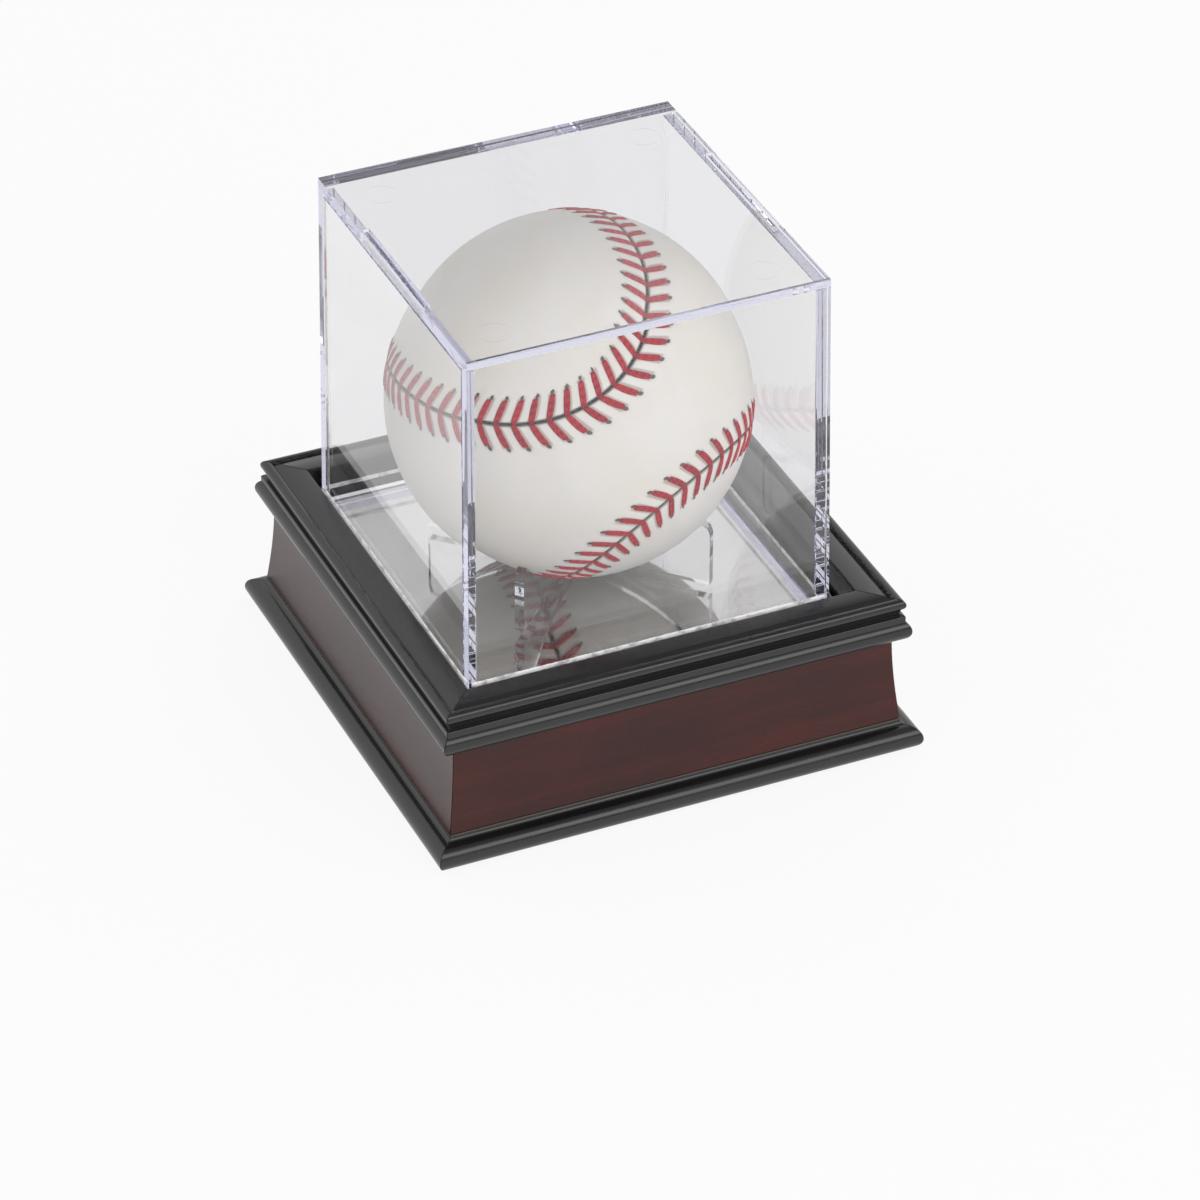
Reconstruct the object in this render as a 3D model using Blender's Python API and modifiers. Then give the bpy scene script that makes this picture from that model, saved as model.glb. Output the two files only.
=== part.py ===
"""Display case for one ball.

A mitred wooden base holds a mirror plate in its recess. A clear two-part case stands on the
mirror, pushed towards the front left of the recess. A cross-shaped cradle inside it carries
the ball. The origin is the middle of the base at the level it stands on, +X is to the right,
-Y to the front and +Z up. All sizes are in metres.
"""

import math

import bmesh
import bpy
from mathutils import Euler, Matrix, Vector

# Clearance between neighbouring pieces
GAP = 0.0003

# Ball: two leather covers sewn over a wound core
BALL_DIAMETER = 0.0736
LEATHER_THICKNESS = 0.0013
LEATHER_TO_CORE = 0.0005
SEAM_CHANNEL = 0.0018
THREAD_DIAMETER = 0.0008
SEAM_SWING = 0.311
SEAM_TURN = (131.0, 67.5, -140.0)

# Cradle: two crossed fins below the ball
CRADLE_REACH = 0.0303
CRADLE_RIM_HEIGHT = 0.0122
CRADLE_WEB = 0.0010
FIN_THICKNESS = 0.0020
RIM_ROUND = 0.0018

# Clear case: a tray with two side walls and a cover with a front and a back wall
CASE_WALL = 0.0024
FLOOR_PLATE = 0.0024
TOP_PLATE = 0.0026
CASE_DRAFT = 0.0010
BALL_SIDE_ROOM = 0.0003
BALL_TOP_ROOM = 0.0003
TAB_LENGTH = 0.0320
TAB_THICKNESS = 0.0009
TAB_BELOW_SURFACE = 0.0004
CASE_EDGE_ROUND = 0.00025

# Place of the case in the recess
CASE_PLAY_X = 0.0058
CASE_PLAY_Y = 0.0070
CASE_TO_LEFT_RAIL = 0.0008
CASE_TO_FRONT_RAIL = 0.0016

# Base heights, from the surface it stands on
BASE_HEIGHT = 0.0360
RECESS_DEPTH = 0.0066
MIRROR_THICKNESS = 0.0020
MIRROR_BEVEL = 0.0006
DECK_THICKNESS = 0.0030
TOP_RAIL_HEIGHT = 0.0097
BASE_RAIL_RISE = 0.0004
BASE_RAIL_HEIGHT = 0.0055
BOTTOM_BOARD_LEVEL = 0.0020
BOTTOM_BOARD_THICKNESS = 0.0030

# Top rail section, measured outwards from the edge of the recess
FACE_WIDTH = 0.0046
EDGE_ROUND = 0.0004
COVE_WIDTH = 0.0010
UPPER_BEAD_RADIUS = 0.0015
UPPER_BEAD_REACH = 0.0083
LOWER_BEAD_RADIUS = 0.0024
LOWER_BEAD_REACH = 0.0090
QUIRK_REACH = 0.0072
QUIRK_HEIGHT = 0.0052

# Side panels, measured outwards from the edge of the recess
PANEL_TOP_REACH = 0.0059
PANEL_FOOT_REACH = 0.0075

# Base rail section, measured outwards from the edge of the recess
LIP_REACH = 0.0079
BASE_COVE_RADIUS = 0.0010
BASE_BEAD_RADIUS = 0.0021
BASE_BEAD_REACH = 0.0113

# Inside and underside of the base
BLOCK_WIDTH = 0.0100
PAD_DIAMETER = 0.0140
PAD_INSET = 0.0090

# Fineness of round shapes
ARC_STEPS = 10
SEAM_STEPS = 44
COVER_STEPS = 14

# Sizes that follow from the ones above
BALL_RADIUS = BALL_DIAMETER / 2
CASE_HALF = BALL_RADIUS + BALL_SIDE_ROOM + CASE_WALL
CASE_FOOT_HALF = CASE_HALF + CASE_DRAFT / 2
BALL_BOTTOM = FLOOR_PLATE + CRADLE_WEB + 2 * GAP
CASE_HEIGHT = BALL_BOTTOM + BALL_DIAMETER + BALL_TOP_ROOM + TOP_PLATE
RECESS_HALF_X = CASE_FOOT_HALF + CASE_PLAY_X / 2
RECESS_HALF_Y = CASE_FOOT_HALF + CASE_PLAY_Y / 2
MIRROR_LEVEL = BASE_HEIGHT - RECESS_DEPTH
DECK_LEVEL = MIRROR_LEVEL - MIRROR_THICKNESS - GAP
PANEL_TOP = BASE_HEIGHT - TOP_RAIL_HEIGHT - GAP
PANEL_FOOT = BASE_RAIL_RISE + BASE_RAIL_HEIGHT + GAP
CASE_BOTTOM = MIRROR_LEVEL + GAP
CASE_X = CASE_TO_LEFT_RAIL - CASE_PLAY_X / 2
CASE_Y = CASE_TO_FRONT_RAIL - CASE_PLAY_Y / 2
BALL_CENTRE = Vector((CASE_X, CASE_Y, CASE_BOTTOM + BALL_BOTTOM + BALL_RADIUS))

COLOURS = {
    "black_lacquer": ((0.012, 0.012, 0.013), 0.32, 0.0),
    "mahogany": ((0.075, 0.022, 0.020), 0.35, 0.0),
    "mirror": ((0.80, 0.80, 0.79), 0.05, 1.0),
    "hardboard": ((0.22, 0.14, 0.08), 0.80, 0.0),
    "pine": ((0.60, 0.42, 0.24), 0.70, 0.0),
    "felt": ((0.02, 0.02, 0.02), 0.95, 0.0),
    "clear_plastic": ((0.90, 0.90, 0.93), 0.05, 0.0),
    "white_leather": ((0.78, 0.75, 0.69), 0.50, 0.0),
    "wound_yarn": ((0.55, 0.52, 0.46), 0.90, 0.0),
    "red_thread": ((0.45, 0.03, 0.05), 0.70, 0.0),
}


def clear_scene():
    for obj in list(bpy.data.objects):
        bpy.data.objects.remove(obj, do_unlink=True)


def material(name):
    """The Principled material of that name, made on first use."""
    found = bpy.data.materials.get(name)
    if found:
        return found
    colour, roughness, metallic = COLOURS[name]
    made = bpy.data.materials.new(name)
    made.use_nodes = True
    shader = made.node_tree.nodes["Principled BSDF"]
    shader.inputs["Base Color"].default_value = (*colour, 1.0)
    shader.inputs["Roughness"].default_value = roughness
    shader.inputs["Metallic"].default_value = metallic
    return made


def collection(name):
    made = bpy.data.collections.new(name)
    bpy.context.scene.collection.children.link(made)
    return made


def add_object(name, mesh, finish, parent=None, location=(0, 0, 0)):
    """A new object in the parts collection, its location taken from its parent."""
    obj = bpy.data.objects.new(name, mesh)
    PARTS.objects.link(obj)
    mesh.materials.append(material(finish))
    obj.location = location
    obj.parent = parent
    return obj


def joint_empty(name, location, parent=None):
    """An empty on a joint's axis, at a world place."""
    empty = bpy.data.objects.new(name, None)
    PARTS.objects.link(empty)
    empty.location = Vector(location) - (parent.location if parent else Vector())
    empty.parent = parent
    return empty


def box_mesh(name, low, high):
    """A box between two corners."""
    low, high = Vector(low), Vector(high)
    shape = bmesh.new()
    size = Matrix.Diagonal((*(high - low), 1.0))
    bmesh.ops.create_cube(shape, size=1.0, matrix=Matrix.Translation((low + high) / 2) @ size)
    mesh = bpy.data.meshes.new(name)
    shape.to_mesh(mesh)
    shape.free()
    return mesh


def evaluated_mesh(obj):
    """A mesh of what the object's modifiers make, with the ends of a curve welded on."""
    graph = bpy.context.evaluated_depsgraph_get()
    mesh = bpy.data.meshes.new_from_object(obj.evaluated_get(graph))
    shape = bmesh.new()
    shape.from_mesh(mesh)
    bmesh.ops.remove_doubles(shape, verts=shape.verts, dist=1e-6)
    shape.to_mesh(mesh)
    shape.free()
    return mesh


def outline_mesh(name, points, thickness):
    """A flat outline in XY, thickened evenly along Z."""
    curve = bpy.data.curves.new(name, "CURVE")
    curve.dimensions = "2D"
    curve.fill_mode = "BOTH"
    curve.extrude = thickness / 2
    spline = curve.splines.new("POLY")
    spline.points.add(len(points) - 1)
    for place, (x, y) in zip(spline.points, points):
        place.co = (x, y, 0, 1)
    spline.use_cyclic_u = True
    helper = bpy.data.objects.new(name, curve)
    CUTTERS.objects.link(helper)
    mesh = evaluated_mesh(helper)
    mesh.name = name
    bpy.data.objects.remove(helper)
    return mesh


def combined(name, base, steps):
    """The mesh after Boolean steps, each an operation and the mesh it uses."""
    body = bpy.data.objects.new(name, base)
    CUTTERS.objects.link(body)
    helpers = [body]
    for operation, mesh in steps:
        tool = bpy.data.objects.new(f"{name}_{operation.lower()}", mesh)
        CUTTERS.objects.link(tool)
        helpers.append(tool)
        modifier = body.modifiers.new(operation, "BOOLEAN")
        modifier.operation = operation
        modifier.object = tool
    mesh = evaluated_mesh(body)
    mesh.name = name
    for helper in helpers:
        bpy.data.objects.remove(helper)
    return mesh


def arc(centre, radius, start, end, steps=ARC_STEPS):
    """Points on a circle from one angle to another, in degrees."""
    angles = [math.radians(start + (end - start) * i / steps) for i in range(steps + 1)]
    return [(centre[0] + radius * math.cos(a), centre[1] + radius * math.sin(a)) for a in angles]


def smooth(mesh, sharp_from=35):
    mesh.shade_smooth()
    mesh.set_sharp_from_angle(angle=math.radians(sharp_from))


# --- base -----------------------------------------------------------------------------------

SIDES = {"right": 0, "back": 90, "left": 180, "front": 270}


def mitred_strip(name, outline, side, finish):
    """One side of a frame round the recess, its outline given as reach and height.

    Each end is cut at 45 degrees: a point runs on past the recess by its own reach, less half
    of the gap in the mitre.
    """
    along_x = side in ("front", "back")
    half_run = RECESS_HALF_X if along_x else RECESS_HALF_Y
    reach = RECESS_HALF_Y if along_x else RECESS_HALF_X
    mesh = outline_mesh(name, outline, 2 * half_run)
    for vertex in mesh.vertices:
        run_on = vertex.co.x - GAP / math.sqrt(2)
        vertex.co.z += run_on if vertex.co.z > 0 else -run_on
    turn = Matrix.Rotation(math.radians(SIDES[side]), 4, "Z")
    stand = Matrix.Rotation(math.radians(90), 4, "X")
    mesh.transform(turn @ Matrix.Translation((reach, 0, 0)) @ stand)
    smooth(mesh)
    return add_object(name, mesh, finish)


def top_rail_outline():
    """Flat face, small cove, upper bead, quirk and lower bead."""
    top = BASE_HEIGHT
    bottom = BASE_HEIGHT - TOP_RAIL_HEIGHT
    upper = (UPPER_BEAD_REACH - UPPER_BEAD_RADIUS, top - UPPER_BEAD_RADIUS)
    lower = (LOWER_BEAD_REACH - LOWER_BEAD_RADIUS, bottom + LOWER_BEAD_RADIUS)
    quirk_floor = top - QUIRK_HEIGHT
    lower_start = math.degrees(math.asin((quirk_floor - lower[1]) / LOWER_BEAD_RADIUS))
    upper_end = -math.degrees(math.acos((QUIRK_REACH - upper[0]) / UPPER_BEAD_RADIUS))
    cove_end = arc(upper, UPPER_BEAD_RADIUS, 160, 160, 1)[0]
    cove_middle = (FACE_WIDTH + (cove_end[0] - FACE_WIDTH) * 0.45, cove_end[1] - EDGE_ROUND / 2)
    points = [(0, bottom)]
    points += arc((EDGE_ROUND, top - EDGE_ROUND), EDGE_ROUND, 180, 90, 4)
    points += [(FACE_WIDTH - COVE_WIDTH / 2, top), (FACE_WIDTH, top - EDGE_ROUND / 2), cove_middle]
    points += arc(upper, UPPER_BEAD_RADIUS, 160, upper_end, 2 * ARC_STEPS)
    points += [(QUIRK_REACH, quirk_floor)]
    points += arc(lower, LOWER_BEAD_RADIUS, lower_start, -90, 2 * ARC_STEPS)
    return points


def side_panel_outline():
    return [
        (GAP, PANEL_FOOT),
        (GAP, PANEL_TOP),
        (PANEL_TOP_REACH, PANEL_TOP),
        (PANEL_FOOT_REACH, PANEL_FOOT),
    ]


def base_rail_outline():
    """Flat seat for the panel, a lip, a cove and a bead."""
    bottom = BASE_RAIL_RISE
    top = BASE_RAIL_RISE + BASE_RAIL_HEIGHT
    bead = (BASE_BEAD_REACH - BASE_BEAD_RADIUS, bottom + BASE_BEAD_RADIUS)
    cove = (LIP_REACH + BASE_COVE_RADIUS, bottom + 2 * BASE_BEAD_RADIUS + BASE_COVE_RADIUS)
    points = [(GAP, bottom), (GAP, top), (LIP_REACH, top)]
    points += arc(cove, BASE_COVE_RADIUS, 180, 270, ARC_STEPS // 2)
    points += arc(bead, BASE_BEAD_RADIUS, 90, -90, 2 * ARC_STEPS)
    return points


def build_base():
    for side in SIDES:
        mitred_strip(f"top_rail_{side}", top_rail_outline(), side, "black_lacquer")
        mitred_strip(f"side_panel_{side}", side_panel_outline(), side, "mahogany")
        mitred_strip(f"base_rail_{side}", base_rail_outline(), side, "black_lacquer")

    inner_x, inner_y = RECESS_HALF_X - GAP, RECESS_HALF_Y - GAP
    low = (-inner_x, -inner_y, MIRROR_LEVEL - MIRROR_THICKNESS)
    mirror = add_object(
        "mirror_plate", box_mesh("mirror_plate", low, (inner_x, inner_y, MIRROR_LEVEL)), "mirror"
    )
    bevel = mirror.modifiers.new("polished_edge", "BEVEL")
    bevel.width = MIRROR_BEVEL
    bevel.segments = 1

    low = (-inner_x, -inner_y, DECK_LEVEL - DECK_THICKNESS)
    add_object(
        "deck_board", box_mesh("deck_board", low, (inner_x, inner_y, DECK_LEVEL)), "hardboard"
    )

    board_x, board_y = RECESS_HALF_X, RECESS_HALF_Y
    board_top = BOTTOM_BOARD_LEVEL + BOTTOM_BOARD_THICKNESS
    low = (-board_x, -board_y, BOTTOM_BOARD_LEVEL)
    add_object(
        "bottom_board", box_mesh("bottom_board", low, (board_x, board_y, board_top)), "hardboard"
    )
    build_corner_pieces(board_top + GAP, DECK_LEVEL - DECK_THICKNESS - GAP)


def build_corner_pieces(block_foot, block_top):
    """A glue block inside each corner of the panels and a felt pad under the board."""
    corners = {"front_left": (-1, -1), "front_right": (1, -1), "back_right": (1, 1), "back_left": (-1, 1)}
    half = BLOCK_WIDTH / 2
    for name, (side_x, side_y) in corners.items():
        x = side_x * (RECESS_HALF_X - half)
        y = side_y * (RECESS_HALF_Y - half)
        block = box_mesh(name, (x - half, y - half, block_foot), (x + half, y + half, block_top))
        add_object(f"corner_block_{name}", block, "pine")

        pad = bmesh.new()
        thickness = BOTTOM_BOARD_LEVEL - GAP
        bmesh.ops.create_cone(
            pad,
            cap_ends=True,
            segments=32,
            radius1=PAD_DIAMETER / 2,
            radius2=PAD_DIAMETER / 2,
            depth=thickness,
        )
        mesh = bpy.data.meshes.new(name)
        pad.to_mesh(mesh)
        pad.free()
        smooth(mesh)
        place = (side_x * (RECESS_HALF_X - PAD_INSET), side_y * (RECESS_HALF_Y - PAD_INSET), thickness / 2)
        add_object(f"felt_pad_{name}", mesh, "felt", location=place)


# --- case -----------------------------------------------------------------------------------


def flared(mesh):
    """The case's draft: every upright face leans out towards the foot."""
    for vertex in mesh.vertices:
        share = 1 - 2 * vertex.co.z / CASE_HEIGHT
        widen = 1 + share * CASE_DRAFT / 2 / CASE_HALF
        vertex.co.x *= widen
        vertex.co.y *= widen
    return mesh


def finished_case_piece(name, mesh, parent):
    """Flares the piece, stands it on the mirror and rounds its moulded edges."""
    flared(mesh)
    obj = add_object(name, mesh, "clear_plastic", parent, (0, 0, CASE_BOTTOM - parent.matrix_world.translation.z))
    bevel = obj.modifiers.new("moulded_edges", "BEVEL")
    bevel.width = CASE_EDGE_ROUND
    bevel.segments = 2
    bevel.limit_method = "ANGLE"
    bevel.angle_limit = math.radians(40)
    return obj


def build_tray(parent):
    """Floor plate and side walls. Tabs on the walls rise into the cover's slots."""
    outer = CASE_HALF
    inner = CASE_HALF - CASE_WALL
    wall_end = inner - GAP
    wall_top = CASE_HEIGHT - TOP_PLATE - GAP
    middle = CASE_HALF - CASE_WALL / 2
    tab_half = TAB_THICKNESS / 2
    floor = box_mesh("tray", (-outer, -outer, 0), (outer, outer, FLOOR_PLATE))
    steps = []
    for side in (-1, 1):
        near, far = sorted((side * inner, side * outer))
        wall = box_mesh("wall", (near, -wall_end, FLOOR_PLATE / 2), (far, wall_end, wall_top))
        steps.append(("UNION", wall))
        low = (side * middle - tab_half, -TAB_LENGTH / 2, wall_top - CASE_WALL)
        high = (side * middle + tab_half, TAB_LENGTH / 2, CASE_HEIGHT - TAB_BELOW_SURFACE)
        steps.append(("UNION", box_mesh("tab", low, high)))
        room = tab_half + GAP
        low = (-TAB_LENGTH / 2 - GAP, side * middle - room, -FLOOR_PLATE)
        high = (TAB_LENGTH / 2 + GAP, side * middle + room, 2 * FLOOR_PLATE)
        steps.append(("DIFFERENCE", box_mesh("slot", low, high)))
    return finished_case_piece("case_tray", combined("case_tray", floor, steps), parent)


def build_cover(parent):
    """Top plate, front wall and back wall. Tabs on the walls drop into the tray's slots."""
    outer = CASE_HALF
    inner = CASE_HALF - CASE_WALL
    wall_foot = FLOOR_PLATE + GAP
    middle = CASE_HALF - CASE_WALL / 2
    tab_half = TAB_THICKNESS / 2
    plate_bottom = CASE_HEIGHT - TOP_PLATE
    plate = box_mesh("cover", (-outer, -outer, plate_bottom), (outer, outer, CASE_HEIGHT))
    steps = []
    for side in (-1, 1):
        near, far = sorted((side * inner, side * outer))
        wall = box_mesh("wall", (-outer, near, wall_foot), (outer, far, CASE_HEIGHT - TOP_PLATE / 2))
        steps.append(("UNION", wall))
        low = (-TAB_LENGTH / 2, side * middle - tab_half, TAB_BELOW_SURFACE)
        high = (TAB_LENGTH / 2, side * middle + tab_half, wall_foot + CASE_WALL)
        steps.append(("UNION", box_mesh("tab", low, high)))
        room = tab_half + GAP
        low = (side * middle - room, -TAB_LENGTH / 2 - GAP, plate_bottom - TOP_PLATE)
        high = (side * middle + room, TAB_LENGTH / 2 + GAP, CASE_HEIGHT + TOP_PLATE)
        steps.append(("DIFFERENCE", box_mesh("slot", low, high)))
    return finished_case_piece("case_cover", combined("case_cover", plate, steps), parent)


def fin_outline():
    """One fin across the cradle: flat foot, upright rims and a hollow that follows the ball."""
    hollow = BALL_RADIUS + GAP
    centre_height = CRADLE_WEB + hollow
    tip = CRADLE_REACH - RIM_ROUND
    tip_height = centre_height - math.sqrt(hollow**2 - tip**2)
    tip_angle = math.degrees(math.atan2(tip_height - centre_height, tip))
    points = [(-CRADLE_REACH, 0), (CRADLE_REACH, 0), (CRADLE_REACH, CRADLE_RIM_HEIGHT)]
    points += [(tip + RIM_ROUND * 0.7, CRADLE_RIM_HEIGHT + (tip_height - CRADLE_RIM_HEIGHT) * 0.7)]
    points += arc((0, centre_height), hollow, tip_angle, -180 - tip_angle, 4 * ARC_STEPS)
    points += [(-tip - RIM_ROUND * 0.7, CRADLE_RIM_HEIGHT + (tip_height - CRADLE_RIM_HEIGHT) * 0.7)]
    points += [(-CRADLE_REACH, CRADLE_RIM_HEIGHT)]
    return points


def build_cradle(parent):
    """Two fins, crossed along the diagonals of the case."""
    fins = []
    for angle in (45, 135):
        fin = outline_mesh("fin", fin_outline(), FIN_THICKNESS)
        fin.transform(Matrix.Rotation(math.radians(angle), 4, "Z") @ Matrix.Rotation(math.radians(90), 4, "X"))
        fins.append(fin)
    cross = combined("ball_cradle", fins[0], [("UNION", fins[1])])
    smooth(cross)
    foot = CASE_BOTTOM + FLOOR_PLATE + GAP
    return add_object("ball_cradle", cross, "clear_plastic", parent, (0, 0, foot - parent.matrix_world.translation.z))


# --- ball -----------------------------------------------------------------------------------


def seam_point(angle):
    """A point of the seam on a ball of radius 1, before the ball is turned."""
    swing = SEAM_SWING
    main = 1 - swing
    return Vector(
        (
            main * math.cos(angle) + swing * math.cos(3 * angle),
            main * math.sin(angle) - swing * math.sin(3 * angle),
            2 * math.sqrt(main * swing) * math.sin(2 * angle),
        )
    )


def ball_turn():
    return Euler([math.radians(a) for a in SEAM_TURN], "XYZ").to_matrix()


def cover_surface(name, start):
    """An open grid between the two halves of the seam, held back from it by half a channel."""
    shape = bmesh.new()
    turn = ball_turn()
    back = SEAM_CHANNEL / 2 / BALL_RADIUS
    rows = []
    for i in range(SEAM_STEPS + 1):
        swing = math.pi * (i + 0.35) / (SEAM_STEPS + 0.7)
        first = seam_point(start + swing)
        last = seam_point(start - swing)
        first, last = inset_ends(start, swing, first, last, back)
        rows.append([shape.verts.new(turn @ first.slerp(last, j / COVER_STEPS) * BALL_RADIUS) for j in range(COVER_STEPS + 1)])
    for upper, lower in zip(rows, rows[1:]):
        for j in range(COVER_STEPS):
            shape.faces.new((upper[j], upper[j + 1], lower[j + 1], lower[j]))
    bmesh.ops.recalc_face_normals(shape, faces=shape.faces)
    mesh = bpy.data.meshes.new(name)
    shape.to_mesh(mesh)
    shape.free()
    if mesh.polygons[0].normal.dot(mesh.polygons[0].center) < 0:
        mesh.flip_normals()
    return mesh


def inset_ends(start, swing, first, last, back):
    """Both seam points moved sideways from the seam, into the cover."""
    step = 0.001
    moved = []
    for sign, point in ((1, first), (-1, last)):
        ahead = seam_point(start + sign * (swing + step))
        along = (ahead - point).normalized()
        inward = point.cross(along) * sign
        moved.append((point + inward.normalized() * back * cover_side(start)).normalized())
    return moved


def cover_side(start):
    """1 where the cover lies to the left of the seam's run, otherwise -1."""
    swing = math.pi / 2
    point = seam_point(start + swing)
    along = seam_point(start + swing + 0.001) - point
    across = seam_point(start - swing) - point
    return math.copysign(1, point.cross(along).dot(across))


def build_ball(parent):
    radius = BALL_RADIUS - LEATHER_THICKNESS - LEATHER_TO_CORE
    core = bmesh.new()
    bmesh.ops.create_uvsphere(core, u_segments=40, v_segments=24, radius=radius)
    mesh = bpy.data.meshes.new("ball_windings")
    core.to_mesh(mesh)
    core.free()
    smooth(mesh)
    add_object("ball_windings", mesh, "wound_yarn", parent)

    for name, start in (("ball_cover_a", 0.75 * math.pi), ("ball_cover_b", 0.25 * math.pi)):
        surface = cover_surface(name, start)
        smooth(surface)
        leather = add_object(name, surface, "white_leather", parent)
        shell = leather.modifiers.new("leather", "SOLIDIFY")
        shell.thickness = LEATHER_THICKNESS
        shell.offset = -1

    curve = bpy.data.curves.new("ball_seam_thread", "CURVE")
    curve.dimensions = "3D"
    curve.bevel_depth = THREAD_DIAMETER / 2
    curve.bevel_resolution = 2
    count = 4 * SEAM_STEPS
    spline = curve.splines.new("POLY")
    spline.points.add(count - 1)
    for i, place in enumerate(spline.points):
        centre = ball_turn() @ seam_point(2 * math.pi * i / count) * (BALL_RADIUS - THREAD_DIAMETER / 2)
        place.co = (*centre, 1)
    spline.use_cyclic_u = True
    add_object("ball_seam_thread", curve, "red_thread", parent)


def build_case():
    """The three moving groups, each under an empty on its joint's axis."""
    tray_axis = joint_empty("case_lift_axis", (CASE_X, CASE_Y, CASE_BOTTOM))
    cover_axis = joint_empty("cover_lift_axis", (CASE_X, CASE_Y, CASE_BOTTOM + FLOOR_PLATE), tray_axis)
    ball_axis = joint_empty("ball_turn_axis", BALL_CENTRE, tray_axis)
    bpy.context.view_layer.update()
    build_tray(tray_axis)
    build_cradle(tray_axis)
    build_cover(cover_axis)
    build_ball(ball_axis)


clear_scene()
PARTS = collection("ball_display_case")
CUTTERS = collection("cutters")
build_base()
build_case()
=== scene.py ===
"""Looks of a ball display case, laid out as an add-on around its CAD solids.

Sizes are in metres unless a name says otherwise. The base stands at z 0 with its front
towards -Y, and the clear case and the ball keep the places that the solids give them.
"""

import math
import random

import bpy
import numpy as np
from mathutils import Euler, Matrix, Vector
from mathutils.kdtree import KDTree


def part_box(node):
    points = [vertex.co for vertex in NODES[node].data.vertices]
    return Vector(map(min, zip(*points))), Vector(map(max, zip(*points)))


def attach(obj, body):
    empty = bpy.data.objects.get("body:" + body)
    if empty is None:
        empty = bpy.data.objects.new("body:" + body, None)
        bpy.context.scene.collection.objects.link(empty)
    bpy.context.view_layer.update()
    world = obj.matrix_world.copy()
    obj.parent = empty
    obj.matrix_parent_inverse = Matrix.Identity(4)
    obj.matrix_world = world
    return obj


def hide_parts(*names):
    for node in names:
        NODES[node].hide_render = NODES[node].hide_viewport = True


bl_info = {
    "name": "Ball Display Case",
    "version": (1, 0, 0),
    "blender": (4, 5, 0),
    "location": "View3D > Sidebar > Display Case",
    "description": "Finishes and fine pieces for a clear ball case on a moulded wooden base",
    "category": "Add Mesh",
}

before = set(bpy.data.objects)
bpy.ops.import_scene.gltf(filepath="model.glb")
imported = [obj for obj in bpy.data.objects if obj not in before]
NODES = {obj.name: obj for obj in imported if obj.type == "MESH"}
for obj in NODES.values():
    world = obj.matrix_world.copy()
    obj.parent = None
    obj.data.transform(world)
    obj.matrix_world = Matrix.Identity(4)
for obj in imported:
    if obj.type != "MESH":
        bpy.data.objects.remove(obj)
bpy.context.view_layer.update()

MM = 0.001
WHITE = (1.0, 1.0, 1.0)
SIDES = {"right": 0, "back": 90, "left": 180, "front": 270}

# The recess of the base, read from the rails round it
RECESS_HALF_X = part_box("top_rail_right")[0].x
RECESS_HALF_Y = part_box("top_rail_back")[0].y

# The ball, read from its core
CORE_LOW, CORE_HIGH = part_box("ball_windings")
BALL_CENTRE = (CORE_LOW + CORE_HIGH) / 2
LEATHER_RADIUS = 36.72 * MM
SEAM_SWING = 0.311
SEAM_TURN = (131.0, 67.5, -140.0)

# Top rail section, measured outwards from the recess and down from the top. Angles are in
# degrees, counted from straight outwards towards the top
FACE_WIDTH = 4.4 * MM
INNER_ROUND = 0.5 * MM
SLOPE_DEPTH = 0.72 * MM
SLOPE_END = 5.6 * MM
SLOPE_BEND = 1.3
UPPER_BEAD_RADIUS = 1.2 * MM
UPPER_BEAD_REACH = 7.95 * MM
UPPER_BEAD_ANGLES = (155, -66)
GROOVE_REACH = 6.95 * MM
GROOVE_DEPTH = 3.5 * MM
GROOVE_HEIGHT = 0.5 * MM
SHOULDER_REACH = 7.9 * MM
SHOULDER_DEPTH = 3.8 * MM
SHOULDER_ROUND = 0.32 * MM
SHOULDER_ANGLES = (98, 0)
LOWER_BEAD_RADIUS = 2.4 * MM

# Base rail section. Its lip laps the foot of the panel
LIP_LAP = 0.6 * MM
LIP_PROUD = 0.05 * MM
LIP_ROUND = 0.05 * MM
BASE_COVE_RADIUS = 1.1 * MM
BASE_COVE_ANGLES = (182, 270)
BASE_BEAD_RADIUS = 2.6 * MM

# Side panel section
PANEL_TOP_REACH = 5.9 * MM
PANEL_HOLLOW = 1.7
PANEL_STEPS = 10

# Steps of the bends, from the wide ones to the tight ones
BEAD_STEPS = 28
SLOPE_STEPS = 14
COVE_STEPS = 8
SHOULDER_STEPS = 7
INNER_STEPS = 5
LIP_STEPS = 4
MITRE_SEGMENTS = 2

# Matt ridge round the foot of the clear case, measured up from its underside
RIDGE_LOW, RIDGE_HIGH = 4.9 * MM, 5.9 * MM
RIDGE_DEPTH = 0.22 * MM
RIDGE_SWELL = 0.12
RIDGE_SHORT = 0.6 * MM
RIDGE_SEAT = 0.05 * MM
RIDGE_STEPS = 120
RIDGE_ARC_STEPS = 6

# Marks of the mould's ejector pins in the case, in millimetres
PIN_FROM_MIDDLE = 29.0
PIN_RADIUS = 3.4
PIN_LINE = 0.28
PIN_RELIEF = 0.016


# --- settings -------------------------------------------------------------------------------


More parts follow.
